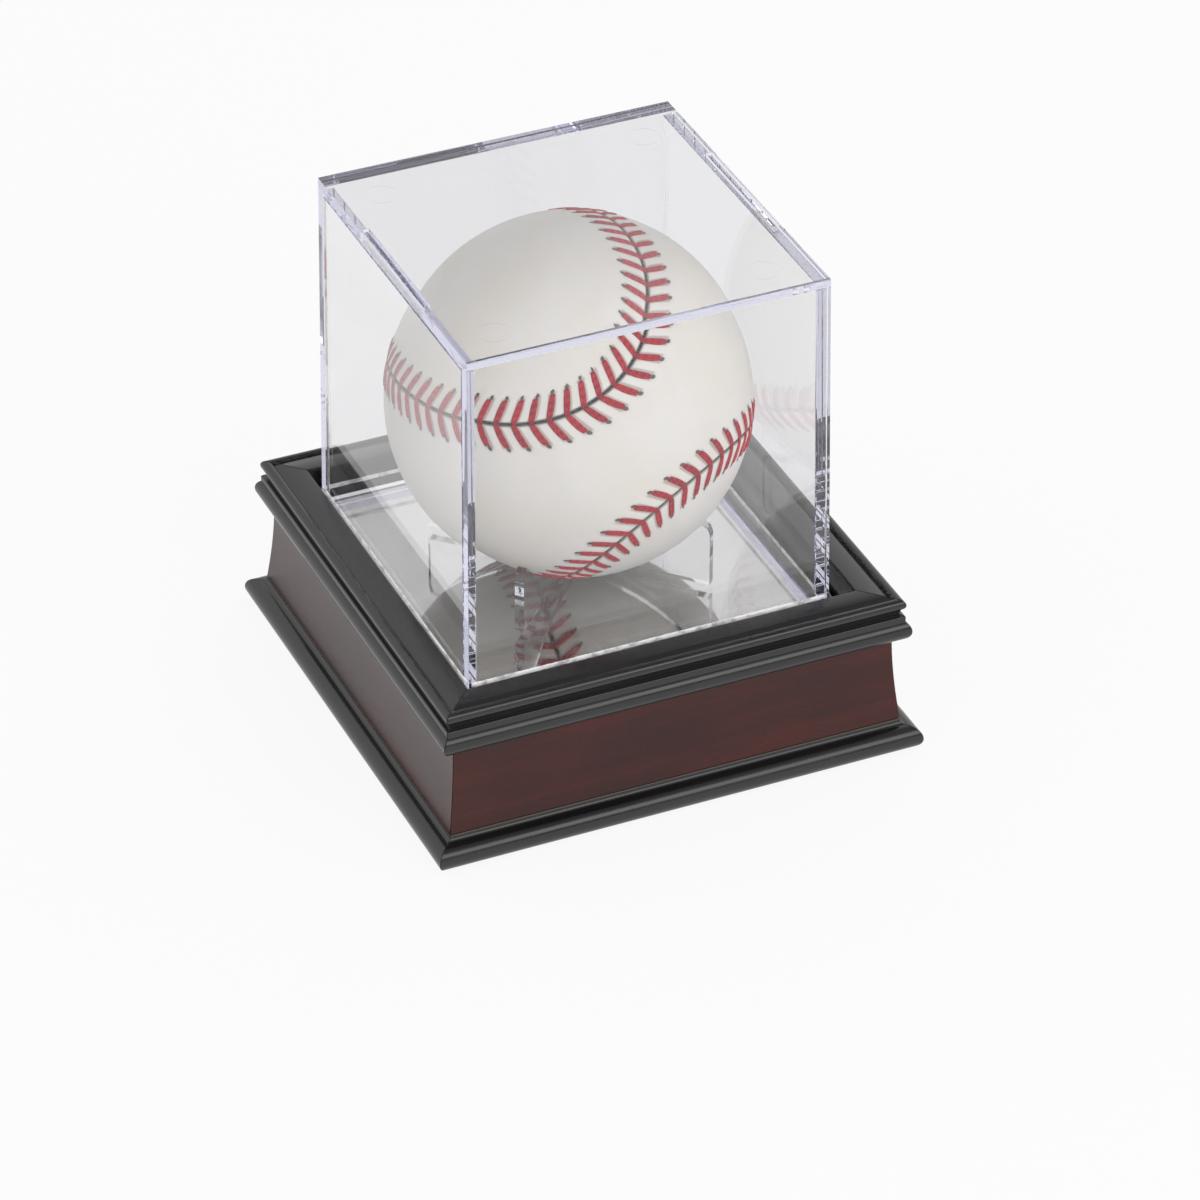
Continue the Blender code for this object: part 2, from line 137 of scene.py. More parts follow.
class WoodSettings(bpy.types.PropertyGroup):
    """Colours and corner joints of the wooden base"""

    lacquer: bpy.props.FloatVectorProperty(
        name="Lacquer", description="Colour of the moulded rails",
        subtype="COLOR", size=3, min=0, max=1, default=(0.0045, 0.0045, 0.0052),
    )
    mahogany_light: bpy.props.FloatVectorProperty(
        name="Mahogany light", description="Lighter figure of the side panels",
        subtype="COLOR", size=3, min=0, max=1, default=(0.050, 0.0066, 0.0044),
    )
    mahogany_dark: bpy.props.FloatVectorProperty(
        name="Mahogany dark", description="Darker figure of the side panels",
        subtype="COLOR", size=3, min=0, max=1, default=(0.025, 0.0042, 0.0030),
    )
    mitre_gap: bpy.props.FloatProperty(
        name="Mitre gap", description="Width of the joint line at the corners",
        unit="LENGTH", min=0, default=0.06 * MM,
    )
    mitre_round: bpy.props.FloatProperty(
        name="Mitre rounding", description="Softening of the edges at the corner joints",
        unit="LENGTH", min=0, default=0.12 * MM,
    )


class CaseSettings(bpy.types.PropertyGroup):
    """The clear plastic and the mirror"""

    tint: bpy.props.FloatVectorProperty(
        name="Tint", description="What one wall lets through",
        subtype="COLOR", size=3, min=0, max=1, default=(0.900, 0.900, 0.906),
    )
    ior: bpy.props.FloatProperty(
        name="Refraction", description="Index of refraction of the clear plastic",
        min=1, max=2, default=1.49,
    )
    mirror: bpy.props.FloatVectorProperty(
        name="Mirror", description="Colour of the silvering",
        subtype="COLOR", size=3, min=0, max=1, default=(0.93, 0.925, 0.90),
    )


class BallSettings(bpy.types.PropertyGroup):
    """Leather and stitches of the ball"""

    leather: bpy.props.FloatVectorProperty(
        name="Leather", description="Colour of the covers",
        subtype="COLOR", size=3, min=0, max=1, default=(0.83, 0.805, 0.765),
    )
    thread: bpy.props.FloatVectorProperty(
        name="Thread", description="Colour of the stitches",
        subtype="COLOR", size=3, min=0, max=1, default=(0.56, 0.013, 0.036),
    )
    stitches: bpy.props.IntProperty(
        name="Stitches", description="Pairs of stitches round the whole seam",
        min=8, default=108,
    )
    stitch_reach: bpy.props.FloatProperty(
        name="Stitch reach", description="From the seam to the row of needle holes",
        unit="LENGTH", min=0, default=4.75 * MM,
    )
    stitch_lean: bpy.props.FloatProperty(
        name="Stitch lean", description="How far a hole lies along the seam from its crossing",
        unit="LENGTH", default=2.3 * MM,
    )
    thread_width: bpy.props.FloatProperty(
        name="Thread width", description="Width of one strand of a stitch",
        unit="LENGTH", min=0, default=0.73 * MM,
    )


class StageSettings(bpy.types.PropertyGroup):
    """Floor, sky and lamps"""

    floor_size: bpy.props.FloatProperty(
        name="Floor", description="Width of the floor",
        unit="LENGTH", min=1, default=6.0,
    )
    sky: bpy.props.FloatProperty(
        name="Sky", description="Brightness of the studio ceiling and of its front wall",
        min=0, default=0.35,
    )
    key: bpy.props.FloatProperty(
        name="Key lamp", description="Power of the main lamp, in watts",
        min=0, default=4.2,
    )
    low: bpy.props.FloatProperty(
        name="Low lamp", description="Power of the low front lamp, in watts",
        min=0, default=9.5,
    )


# --- shader maths ---------------------------------------------------------------------------


class Value:
    """One output of a node, which takes part in sums."""

    def __init__(self, look, socket):
        self.look = look
        self.socket = socket

    def maths(self, operation, *inputs):
        return self.look.node("ShaderNodeMath", {"operation": operation}, inputs)

    def __add__(self, other):
        return self.maths("ADD", self, other)

    __radd__ = __add__

    def __sub__(self, other):
        return self.maths("SUBTRACT", self, other)

    def __rsub__(self, other):
        return self.maths("SUBTRACT", other, self)

    def __mul__(self, other):
        return self.maths("MULTIPLY", self, other)

    __rmul__ = __mul__

    def __truediv__(self, other):
        return self.maths("DIVIDE", self, other)

    def __pow__(self, other):
        return self.maths("POWER", self, other)

    def __abs__(self):
        return self.maths("ABSOLUTE", self)

    def ramp(self, start, end, low=0.0, high=1.0):
        """Eases from low to high as the value goes from start to end."""
        settings = {"interpolation_type": "SMOOTHSTEP"}
        return self.look.node("ShaderNodeMapRange", settings, (self, start, end, low, high))


class Look:
    """A node tree and the one method that adds a node to it."""

    def __init__(self, owner):
        owner.use_nodes = True
        self.owner = owner
        self.tree = owner.node_tree

    def node(self, kind, settings=None, inputs=(), output=0):
        """Adds a node: its settings first, then the values or links of its sockets."""
        made = self.tree.nodes.new(kind)
        for name, value in (settings or {}).items():
            setattr(made, name, value)
        pairs = inputs.items() if isinstance(inputs, dict) else enumerate(inputs)
        for key, value in pairs:
            self.set(made.inputs[key], value)
        return Value(self, made.outputs[output])

    def set(self, socket, value):
        if isinstance(value, Value):
            self.tree.links.new(value.socket, socket)
        elif socket.type == "RGBA" and len(value) == 3:
            socket.default_value = (*value, 1.0)
        else:
            socket.default_value = value

    def mix(self, factor, first, second):
        """Mixes two colours."""
        sockets = {0: factor, 6: first, 7: second}
        return self.node("ShaderNodeMix", {"data_type": "RGBA"}, sockets, output=2)

    def place(self, stretch=(1, 1, 1)):
        """The piece's own coordinates in millimetres, each divided by its stretch."""
        source = self.node("ShaderNodeTexCoord", output=3)
        scale = tuple(1 / MM / s for s in stretch)
        return self.node("ShaderNodeVectorMath", {"operation": "MULTIPLY"}, (source, scale))

    def apart(self, vector):
        """The three numbers of a vector."""
        first = self.node("ShaderNodeSeparateXYZ", inputs=(vector,))
        return [Value(self, socket) for socket in first.socket.node.outputs]

    def rays(self):
        """What kinds of ray see this shader, by the names of the Light Path node's outputs."""
        sight = self.node("ShaderNodeLightPath")
        return {socket.name: Value(self, socket) for socket in sight.socket.node.outputs}

    def noise(self, size, place=None, detail=3.0, roughness=0.5):
        """A soft noise whose lumps are about that many millimetres across."""
        sockets = {"Scale": 1 / size, "Detail": detail, "Roughness": roughness}
        sockets["Vector"] = place or self.place()
        return self.node("ShaderNodeTexNoise", None, sockets)

    def bump(self, height, depth, below=None):
        """A normal from a height that is given from 0 to 1, with its depth in millimetres."""
        sockets = {"Strength": 1.0, "Distance": depth * MM, "Height": height}
        if below is not None:
            sockets["Normal"] = below
        return self.node("ShaderNodeBump", None, sockets)


def principled(name, **sockets):
    """A new material's look, with values or links for its Principled shader's sockets."""
    look = Look(bpy.data.materials.new(name))
    finish(look, **sockets)
    return look


def finish(look, **sockets):
    shader = look.tree.nodes["Principled BSDF"]
    for key, value in sockets.items():
        look.set(shader.inputs[key.replace("_", " ")], value)


# --- finishes -------------------------------------------------------------------------------


LACQUER_IOR = 1.60
LACQUER_PEEL = 0.0012
LIP_LINE_TAN = (0.085, 0.065, 0.052)
# The tan line against the top of the lip, in millimetres: where it starts and where it is full
LIP_LINE_START, LIP_LINE_FULL = -0.30, -0.16


def black_lacquer():
    """Satin lacquer over wood: faint clouding and orange peel, a thin tan line along the lip of
    the foot.
    """
    wood = bpy.context.scene.case_wood
    look = principled("black_lacquer")
    peel = look.noise(1.6, detail=1.0)
    cloud = look.noise(22, detail=2.0)
    lighter = tuple(1.8 * c + 0.002 for c in wood.lacquer)
    colour = look.mix(cloud.ramp(0.35, 0.75) * 0.4, tuple(wood.lacquer), lighter)
    lip = (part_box("base_rail_front")[1].z + LIP_LAP) / MM
    height = look.apart(look.place())[2]
    # A thin tan line just below the top of the lip
    lip_line = height.ramp(lip + LIP_LINE_START, lip + LIP_LINE_FULL) * height.ramp(lip + 1, lip)
    colour = look.mix(lip_line * 0.85, colour, LIP_LINE_TAN)
    finish(
        look,
        Base_Color=colour,
        Roughness=0.22 + 0.04 * cloud.ramp(0.3, 0.7),
        Normal=look.bump(peel, LACQUER_PEEL),
        IOR=LACQUER_IOR,
    )
    return look.owner


MAHOGANY_IOR = 1.42
PORE_DEPTH = 0.008
COAT_RIPPLE = 0.010


def mahogany():
    """Dark red stained wood: long figure, short pores and a satin clear coat."""
    wood = bpy.context.scene.case_wood
    look = principled("mahogany")
    sway = look.noise(30, look.place((3, 1, 1)), detail=2.0)
    figure = look.noise(2.6, look.place((16, 1, 1)), detail=5.0, roughness=0.6)
    cloud = look.noise(13, look.place((2.2, 1, 1)), detail=3.0)
    pores = look.noise(0.32, look.place((11, 1, 1)), detail=2.0).ramp(0.60, 0.72)
    share = (figure * 0.55 + cloud * 0.75 + sway * 0.3).ramp(0.58, 1.02)
    body = look.mix(share, tuple(wood.mahogany_dark), tuple(wood.mahogany_light))
    pore_colour = tuple(0.35 * c for c in wood.mahogany_dark)
    relief = look.bump(look.noise(1.4, detail=2.0), COAT_RIPPLE)
    finish(
        look,
        Base_Color=look.mix(pores * 0.6, body, pore_colour),
        Roughness=0.21 + 0.10 * figure,
        Normal=look.bump(1 - pores, PORE_DEPTH, relief),
        IOR=MAHOGANY_IOR,
    )
    return look.owner


SILVER_SHARE = 0.92


def silvering():
    """A flat mirror sheet, a little milky, with a trace of dust and wiping."""
    case = bpy.context.scene.case_clear
    look = principled("mirror", Metallic=SILVER_SHARE)
    haze = look.noise(9, detail=5.0).ramp(0.45, 0.75)
    dust = look.noise(0.5, detail=1.0).ramp(0.74, 0.80)
    dull = tuple(0.80 * c for c in case.mirror)
    finish(
        look,
        Base_Color=look.mix(dust * 0.5 + haze * 0.15, tuple(case.mirror), dull),
        Roughness=0.015 + 0.03 * haze + 0.25 * dust,
        Normal=look.bump(look.noise(22, detail=1.0), 0.02),
    )
    return look.owner


PLASTIC_DEPTH = {"Color": (0.80, 0.80, 0.94), "Density": 12.0}


def clear_plastic(name, tint, pin_middle=None):
    """Clear polystyrene that lets lamps through, with pin marks round a middle if one is given."""
    case = bpy.context.scene.case_clear
    look = principled(
        name,
        Base_Color=tint,
        IOR=case.ior,
        Transmission_Weight=1.0,
        Roughness=0.0,
    )
    if pin_middle is not None:
        x, y, _ = look.apart(look.place())
        across = abs(abs(x - pin_middle.x / MM) - PIN_FROM_MIDDLE)
        along = abs(abs(y - pin_middle.y / MM) - PIN_FROM_MIDDLE)
        radius = (across * across + along * along) ** 0.5
        ring = abs(radius - PIN_RADIUS).ramp(0.0, PIN_LINE, 1.0, 0.0)
        finish(look, Normal=look.bump(ring, PIN_RELIEF))
    solid = Value(look, look.tree.nodes["Principled BSDF"].outputs[0])
    through = look.node("ShaderNodeBsdfTransparent", None, (tint,))
    shares = (look.rays()["Is Shadow Ray"], solid, through)
    output = look.tree.nodes["Material Output"]
    look.set(output.inputs["Surface"], look.node("ShaderNodeMixShader", None, shares))
    absorb = look.node("ShaderNodeVolumeAbsorption", None, PLASTIC_DEPTH)
    look.set(output.inputs["Volume"], absorb)
    return look.owner


# Needle hole in millimetres: how far past the stitch's end, and half its length and breadth
HOLE_PAST_STITCH = 0.42
HOLE_ALONG, HOLE_ACROSS = 0.42, 0.46
# Colours of the leather: painted shadow round each stitch, the dark seam, and painted shade in a
# needle hole
STITCH_SHADOW, SEAM_DARK, HOLE_SHADE = (0.30, 0.16, 0.12), (0.10, 0.075, 0.06), (0.085, 0.066, 0.045)


def white_leather():
    """Smooth tanned leather. SeamPlace holds sine and cosine of the place between two holes,
    and the distance from the seam in millimetres."""
    ball = bpy.context.scene.case_ball
    look = principled("white_leather")
    seam = look.node("ShaderNodeAttribute", {"attribute_name": "SeamPlace"}, output=1)
    sine, cosine, away = look.apart(seam)
    pitch = seam_length() / MM / ball.stitches
    along = sine.maths("ARCTAN2", sine, cosine) * (pitch / math.tau)
    from_hole = away - (ball.stitch_reach / MM + HOLE_PAST_STITCH)
    spread = ((along / HOLE_ALONG) ** 2 + (from_hole / HOLE_ACROSS) ** 2) ** 0.5
    # Painted shade in each needle hole, which the bump also sinks
    hole = spread.ramp(0.75, 1.25, 1.0, 0.0)
    # Greyer round each needle hole
    near_hole = spread.ramp(1.0, 3.2, 1.0, 0.0)
    seam_shade = away.ramp(0.15, 0.75, 1.0, 0.0)
    beside = abs(along).ramp(0.75, 1.25, 1.0, 0.0)
    # Painted shadow round each stitch leg, between the seam and the hole
    stitch_shadow = beside * away.ramp(0.1, 0.9) * away.ramp(4.7, 5.4, 1.0, 0.0)
    cloud = look.noise(17, detail=4.0).ramp(0.35, 0.7)
    soil = look.noise(5, detail=5.0, roughness=0.65).ramp(0.62, 0.80)
    leather = tuple(ball.leather)
    warm = (leather[0] * 0.965, leather[1] * 0.945, leather[2] * 0.90)
    grey = tuple(0.72 * c for c in leather)
    colour = look.mix(cloud, leather, warm)
    colour = look.mix(soil * 0.16 + near_hole * 0.20, colour, grey)
    colour = look.mix(stitch_shadow * 0.55, colour, STITCH_SHADOW)
    colour = look.mix(seam_shade * 0.9, colour, SEAM_DARK)
    colour = look.mix(hole * 0.92, colour, HOLE_SHADE)
    crease = look.bump(look.noise(3.2, detail=3.0), 0.10)
    relief = look.bump(look.noise(0.42, detail=3.0), 0.022, crease)
    finish(
        look,
        Base_Color=colour,
        Roughness=0.46 + 0.12 * cloud + 0.3 * hole,
        Normal=look.bump(1 - hole, 0.30, relief),
        Specular_IOR_Level=0.38,
        Subsurface_Weight=0.06,
        Subsurface_Radius=(1.2, 0.6, 0.4),
        Subsurface_Scale=MM,
    )
    return look.owner


THREAD_TWIST = 4.2
THREAD_FLUFF = (0.74, 0.34, 0.36)


def red_thread():
    """Waxed thread of two plies. StrandPlace holds the length along a strand in millimetres,
    the turn round it and a shade of its own."""
    ball = bpy.context.scene.case_ball
    look = principled("red_thread")
    strand = look.node("ShaderNodeAttribute", {"attribute_name": "StrandPlace"}, output=1)
    length, turn, own = look.apart(strand)
    twist = length * THREAD_TWIST + turn * math.tau
    ply = twist.maths("SINE", twist).ramp(-0.9, 0.5)
    wear = look.noise(0.8, detail=4.0, roughness=0.7).ramp(0.60, 0.74)
    thread = tuple(ball.thread)
    # Painted shade in the grooves between the plies, mixed with each stitch's own tone
    groove_shade_and_tone = (thread[0] * 0.42, thread[1] * 0.4, thread[2] * 0.45)
    colour = look.mix(ply * 0.5 + own * 0.3 + 0.2, groove_shade_and_tone, thread)
    finish(
        look,
        Base_Color=look.mix(wear * 0.25, colour, THREAD_FLUFF),
        Roughness=0.55 + 0.2 * wear,
        Normal=look.bump(ply, 0.10, look.bump(look.noise(0.25), 0.03)),
        Specular_IOR_Level=0.25,
    )
    return look.owner


def hardboard():
    """Brown pressed fibres."""
    look = principled("hardboard")
    fibres = look.noise(0.5, look.place((4, 1, 1)), detail=5.0)
    speck = look.noise(1.6, detail=4.0)
    share = (fibres * 0.6 + speck * 0.5).ramp(0.35, 0.75)
    colour = look.mix(share, (0.13, 0.075, 0.04), (0.32, 0.2, 0.11))
    finish(look, Base_Color=colour, Roughness=0.72 + 0.2 * speck, Normal=look.bump(fibres, 0.05))
    return look.owner


def pine():
    """Pale softwood with narrow growth rings."""
    look = principled("pine")
    wave = {"wave_type": "BANDS", "bands_direction": "X"}
    sockets = {"Vector": look.place((1, 6, 12)), "Scale": 0.28, "Distortion": 2.5, "Detail": 2.0}
    rings = look.node("ShaderNodeTexWave", wave, sockets, output=1)
    pores = look.noise(0.4, look.place((1, 1, 9)), detail=3.0)
    colour = look.mix(rings.ramp(0.3, 1.0), (0.66, 0.47, 0.28), (0.44, 0.25, 0.11))
    finish(look, Base_Color=colour, Roughness=0.6 + 0.2 * pores, Normal=look.bump(pores, 0.04))
    return look.owner


def felt():
    """Black felt with loose fibres."""
    look = principled("felt", Sheen_Weight=0.5, Sheen_Roughness=0.5)
    fibres = look.noise(0.22, detail=5.0, roughness=0.7)
    tufts = look.noise(1.3, detail=3.0)
    share = (fibres * 0.7 + tufts * 0.4).ramp(0.35, 0.8)
    colour = look.mix(share, (0.010, 0.010, 0.011), (0.06, 0.06, 0.063))
    finish(look, Base_Color=colour, Roughness=0.88 + 0.1 * fibres, Normal=look.bump(fibres, 0.12))
    return look.owner


def wound_yarn():
    """Grey wool yarn, wound round and round."""
    look = principled("wound_yarn")
    wave = {"wave_type": "BANDS", "bands_direction": "DIAGONAL"}
    sockets = {"Vector": look.place(), "Scale": 0.45, "Distortion": 3.0, "Detail": 2.0}
    strands = look.node("ShaderNodeTexWave", wave, sockets, output=1)
    fuzz = look.noise(0.3, detail=4.0)
    share = (strands * 0.6 + fuzz * 0.5).ramp(0.2, 0.9)
    colour = look.mix(share, (0.25, 0.23, 0.20), (0.62, 0.59, 0.53))
    finish(look, Base_Color=colour, Roughness=0.8 + 0.15 * fuzz, Normal=look.bump(strands, 0.3))
    return look.owner


def coat_nodes(material, *names):
    """Gives CAD nodes their finish."""
    for name in names:
        slots = NODES[name].data.materials
        slots.clear()
        slots.append(material)


# --- mesh helpers ---------------------------------------------------------------------------


def add_piece(name, mesh, material, body, slot, *replaced):
    """A finished piece that rides on a body and takes the place of CAD nodes."""
    piece = bpy.data.objects.new(name, mesh)
    bpy.context.scene.collection.objects.link(piece)
    mesh.materials.append(material)
    return settle(piece, body, slot, *replaced)


def settle(piece, body, slot, *replaced):
    """Says what a piece rides on and the CAD nodes it stands for; its slot, the finish's name, is
    not used.
    """
    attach(piece, body)
    if replaced:
        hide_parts(*replaced)
    return piece


def mesh_from(name, points, faces, smooth_to=None):
    mesh = bpy.data.meshes.new(name)
    mesh.from_pydata(points, [], faces)
    mesh.validate()
    if smooth_to:
        mesh.shade_smooth()
        mesh.set_sharp_from_angle(angle=math.radians(smooth_to))
    return mesh


def arc(centre, radius, start, end, steps):
    """Points on a circle from one angle to another, in degrees."""
    angles = [math.radians(start + (end - start) * i / steps) for i in range(steps + 1)]
    return [(centre[0] + radius * math.cos(a), centre[1] + radius * math.sin(a)) for a in angles]


def strip_mesh(name, outline, half_run, gap):
    """An outline of reach and height run along X, with both ends cut for a mitre. The edges of
    the cuts carry the bevel's weight."""
    count = len(outline)
    points = []
    for side in (-1, 1):
        for reach, height in outline:
            run = half_run + reach - gap / math.sqrt(2)
            points.append((side * run, -reach, height))
    faces = [tuple(range(count)), tuple(range(2 * count - 1, count - 1, -1))]
    for i in range(count):
        j = (i + 1) % count
        faces.append((j, i, count + i, count + j))
    mesh = mesh_from(name, points, faces, 32)
    weight = mesh.attributes.new("bevel_weight_edge", "FLOAT", "EDGE")
    for edge in mesh.edges:
        a, b = edge.vertices
        weight.data[edge.index].value = float((a < count) == (b < count))
    return mesh


def frame_side(name, outline, side, material, slot):
    """One side of a mitred frame. Its own X axis runs along the side, and its own -Y out."""
    wood = bpy.context.scene.case_wood
    along_x = side in ("front", "back")
    half_run = RECESS_HALF_X if along_x else RECESS_HALF_Y
    distance = RECESS_HALF_Y if along_x else RECESS_HALF_X
    mesh = strip_mesh(name, outline, half_run, wood.mitre_gap)
    piece = bpy.data.objects.new(f"{name}_finish", mesh)
    bpy.context.scene.collection.objects.link(piece)
    mesh.materials.append(material)
    turn = math.radians(SIDES[side] + 90)
    outwards = Vector((math.sin(turn), -math.cos(turn), 0))
    piece.location = outwards * distance
    piece.rotation_euler = (0, 0, turn)
    bevel = piece.modifiers.new("joint_edges", "BEVEL")
    bevel.width = wood.mitre_round
    bevel.segments = MITRE_SEGMENTS
    bevel.limit_method = "WEIGHT"
    return settle(piece, "base", slot, name)


# --- base -----------------------------------------------------------------------------------


def top_rail_outline():
    """Flat face, slope, upper bead, groove, shoulder and lower bead, from the foot inside."""
    low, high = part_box("top_rail_right")
    top, bottom = high.z, low.z
    lower_reach = high.x - RECESS_HALF_X
    upper = (UPPER_BEAD_REACH - UPPER_BEAD_RADIUS, top - UPPER_BEAD_RADIUS)
    lower = (lower_reach - LOWER_BEAD_RADIUS, bottom + LOWER_BEAD_RADIUS)
    shoulder = (SHOULDER_REACH - SHOULDER_ROUND, top - SHOULDER_DEPTH - SHOULDER_ROUND)
    lower_start = math.degrees(math.acos((SHOULDER_REACH - lower[0]) / LOWER_BEAD_RADIUS))
    points = [(0, bottom)]
    points += arc((INNER_ROUND, top - INNER_ROUND), INNER_ROUND, 180, 90, INNER_STEPS)
    for i in range(1, SLOPE_STEPS):
        share = i / SLOPE_STEPS
        reach = FACE_WIDTH + (SLOPE_END - FACE_WIDTH) * share
        points.append((reach, top - SLOPE_DEPTH * share**SLOPE_BEND))
    points += arc(upper, UPPER_BEAD_RADIUS, *UPPER_BEAD_ANGLES, BEAD_STEPS)
    groove = top - GROOVE_DEPTH
    points += [(GROOVE_REACH, groove + GROOVE_HEIGHT), (GROOVE_REACH, groove)]
    points += arc(shoulder, SHOULDER_ROUND, *SHOULDER_ANGLES, SHOULDER_STEPS)
    points += arc(lower, LOWER_BEAD_RADIUS, lower_start, -90, BEAD_STEPS)
    return points


def side_panel_outline():
    """Upright inside, hollow flare outside."""
    low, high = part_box("side_panel_right")
    foot_reach = high.x - RECESS_HALF_X
    inner = low.x - RECESS_HALF_X
    foot = low.z + LIP_LAP
    points = [(inner, foot), (inner, high.z)]
    for i in range(PANEL_STEPS + 1):
        share = i / PANEL_STEPS
        reach = PANEL_TOP_REACH + (foot_reach - PANEL_TOP_REACH) * share**PANEL_HOLLOW
        points.append((reach, high.z + (foot - high.z) * share))
    return points


def base_rail_outline():
    """Seat for the panel, lip, cove and bead."""
    low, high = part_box("base_rail_right")
    top, bottom = high.z + LIP_LAP, 0.0
    inner, outer = low.x - RECESS_HALF_X, high.x - RECESS_HALF_X
    lip_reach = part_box("side_panel_right")[1].x - RECESS_HALF_X + LIP_PROUD
    lip = (lip_reach - LIP_ROUND, top - LIP_ROUND)
    cove = (lip_reach + BASE_COVE_RADIUS, bottom + 2 * BASE_BEAD_RADIUS + BASE_COVE_RADIUS)
    bead = (outer - BASE_BEAD_RADIUS, bottom + BASE_BEAD_RADIUS)
    points = [(inner, bottom), (inner, top)]
    points += arc(lip, LIP_ROUND, 90, 0, LIP_STEPS)
    points += arc(cove, BASE_COVE_RADIUS, *BASE_COVE_ANGLES, COVE_STEPS)
    points += arc(bead, BASE_BEAD_RADIUS, 90, -90, BEAD_STEPS)
    return points


class CASE_OT_rails(bpy.types.Operator):
    """Build the moulded black rails above and below the panels"""

    bl_idname = "display_case.rails"
    bl_label = "Moulded Rails"

    def execute(self, context):
        material = black_lacquer()
        for side in SIDES:
            frame_side(f"top_rail_{side}", top_rail_outline(), side, material, "black_lacquer")
            frame_side(f"base_rail_{side}", base_rail_outline(), side, material, "black_lacquer")
        return {"FINISHED"}


class CASE_OT_panels(bpy.types.Operator):
    """Build the four flared mahogany panels"""

    bl_idname = "display_case.panels"
    bl_label = "Side Panels"

    def execute(self, context):
        material = mahogany()
        for side in SIDES:
            frame_side(f"side_panel_{side}", side_panel_outline(), side, material, "mahogany")
        return {"FINISHED"}


class CASE_OT_hidden_base(bpy.types.Operator):
    """Finish the mirror and the pieces inside and under the base"""

    bl_idname = "display_case.hidden_base"
    bl_label = "Mirror and Base Fittings"

    def execute(self, context):
        coat_nodes(silvering(), "mirror_plate")
        coat_nodes(hardboard(), "deck_board", "bottom_board")
        coat_nodes(pine(), *(n for n in NODES if n.startswith("corner_block")))
        coat_nodes(felt(), *(n for n in NODES if n.startswith("felt_pad")))
        return {"FINISHED"}


# --- clear case -----------------------------------------------------------------------------


class CASE_OT_clear_case(bpy.types.Operator):
    """Finish the clear cover, tray and cradle"""

    bl_idname = "display_case.clear_case"
    bl_label = "Clear Case"

    def execute(self, context):
        tint = tuple(context.scene.case_clear.tint)
        thin = tuple(math.sqrt(c) for c in tint)
        coat_nodes(clear_plastic("clear_cover", tint, BALL_CENTRE), "case_cover")
        coat_nodes(clear_plastic("clear_tray", thin, BALL_CENTRE), "case_tray")
        coat_nodes(clear_plastic("clear_cradle", thin), "ball_cradle")
        return {"FINISHED"}


# Strength of the painted glow of the matt ridges
RIDGE_GLOW = 0.35


def frosted_glowing_edge():
    """Plastic left matt by the mould, with a painted glow for the light that runs inside the
    walls.
    """
    look = principled("frosted_glowing_edge", Emission_Strength=RIDGE_GLOW)
    chips = look.noise(1.7, detail=3.0, roughness=0.6)
    frost_and_glow = chips.ramp(0.36, 0.56)
    finish(
        look,
        Base_Color=look.mix(frost_and_glow, (0.62, 0.62, 0.66), (0.95, 0.95, 0.96)),
        Roughness=0.35 + 0.3 * chips,
        # Painted glow, whiter on the paler chips
        Emission_Color=look.mix(frost_and_glow, (0.30, 0.30, 0.33), WHITE),
        Normal=look.bump(chips, 0.05),
    )
    return look.owner


def foot_edge_mesh(name, half, distance):
    """A low rounded ridge along X, standing off towards its own -Y, with uneven faces."""
    chance = random.Random(name)
    section = arc((0, 0), 1, 0, 180, RIDGE_ARC_STEPS)
    points = []
    for i in range(RIDGE_STEPS + 1):
        x = half * (2 * i / RIDGE_STEPS - 1)
        swell = 1 + chance.uniform(-RIDGE_SWELL, RIDGE_SWELL)
        for along, out in section:
            height = (RIDGE_LOW + RIDGE_HIGH) / 2 + along * (RIDGE_HIGH - RIDGE_LOW) / 2 * swell
            points.append((x, -distance - out * RIDGE_DEPTH * swell, height))
    width = len(section)
    last = RIDGE_STEPS * width
    faces = [tuple(range(width)), tuple(range(last + width - 1, last - 1, -1))]
    for i in range(RIDGE_STEPS):
        for k in range(width):
            a, b = i * width + k, i * width + (k + 1) % width
            faces.append((b, a, a + width, b + width))
    return mesh_from(name, points, faces, 40)


class CASE_OT_foot_edges(bpy.types.Operator):
    """Add the matt ridges round the foot of the clear case"""

    bl_idname = "display_case.foot_edges"
    bl_label = "Case Foot Ridges"

    def execute(self, context):
        material = frosted_glowing_edge()
        low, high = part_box("case_tray")
        middle = (low + high) / 2
        half = (high.x - low.x) / 2
        for side, turn in SIDES.items():
            body = "cover" if side in ("front", "back") else "tray"
            mesh = foot_edge_mesh(f"foot_ridge_{side}", half - RIDGE_SHORT, half - RIDGE_SEAT)
            around = Matrix.Rotation(math.radians(turn + 90), 4, "Z")
            mesh.transform(Matrix.Translation((middle.x, middle.y, low.z)) @ around)
            add_piece(f"case_foot_ridge_{side}", mesh, material, body, "clear_plastic")
        return {"FINISHED"}


# --- ball -----------------------------------------------------------------------------------


def seam_points(angles):
    """Points of the seam on a ball of radius 1, turned as the ball lies."""
    main = 1 - SEAM_SWING
    rise = 2 * math.sqrt(main * SEAM_SWING)
    plain = np.stack(
        [
            main * np.cos(angles) + SEAM_SWING * np.cos(3 * angles),
            main * np.sin(angles) - SEAM_SWING * np.sin(3 * angles),
            rise * np.sin(2 * angles),
        ],
        axis=-1,
    )
    turn = np.array(Euler([math.radians(a) for a in SEAM_TURN], "XYZ").to_matrix())
    return plain @ turn.T


def seam_length():
    """The seam's whole length on the leather."""
    steps = seam_points(np.linspace(0, math.tau, 4001))
    return LEATHER_RADIUS * float(np.linalg.norm(np.diff(steps, axis=0), axis=1).sum())


def unit(vectors):
    return vectors / np.linalg.norm(vectors, axis=-1, keepdims=True)


